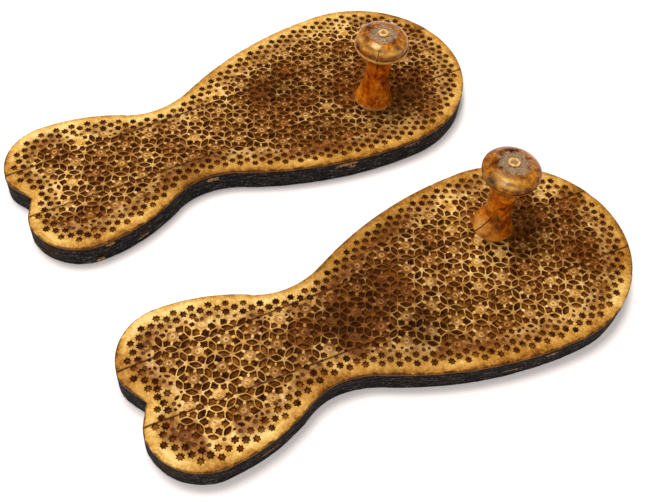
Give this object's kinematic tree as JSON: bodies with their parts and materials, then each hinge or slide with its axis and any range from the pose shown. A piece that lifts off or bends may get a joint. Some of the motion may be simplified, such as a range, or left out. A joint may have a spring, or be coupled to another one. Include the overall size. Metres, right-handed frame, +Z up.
{
  "type": "toe-knob sandals",
  "caption": "Pair of wooden toe-knob sandals with waisted, cleft-heeled soles, a pierced bone facing and a turned mushroom knob to grip between the toes.",
  "frame": {"origin": "under the middle of the pair, on the surface that the soles stand on", "axes": "+Z up, +Y from the heels to the toes, +X to the wearer's right"},
  "size_m": [0.2414, 0.257, 0.0602],
  "materials": {
    "blackened_wood": "worn black stain",
    "honey_bone": "aged, polished and stained bone",
    "amber_bone": "glossy, amber-stained turned bone",
    "brown_peg_wood": "dark brown end grain"
  },
  "bodies": {
    "right_sandal": {"right_sole_board": "blackened_wood", "right_overlay_inner_strip": "honey_bone", "right_overlay_middle_strip": "honey_bone", "right_overlay_outer_strip": "honey_bone", "right_overlay_pegs": "brown_peg_wood", "right_toe_knob": "amber_bone", "right_knob_plug": "amber_bone", "right_knob_wedge": "brown_peg_wood"},
    "left_sandal": {"left_sole_board": "blackened_wood", "left_overlay_inner_strip": "honey_bone", "left_overlay_middle_strip": "honey_bone", "left_overlay_outer_strip": "honey_bone", "left_overlay_pegs": "brown_peg_wood", "left_toe_knob": "amber_bone", "left_knob_plug": "amber_bone", "left_knob_wedge": "brown_peg_wood"}
  },
  "joints": [
    {"name": "left_sandal_lift", "type": "slide", "parent": "right_sandal", "child": "left_sandal", "axis": [0, 0, 1], "range_m": [0, 0.15]}
  ]
}
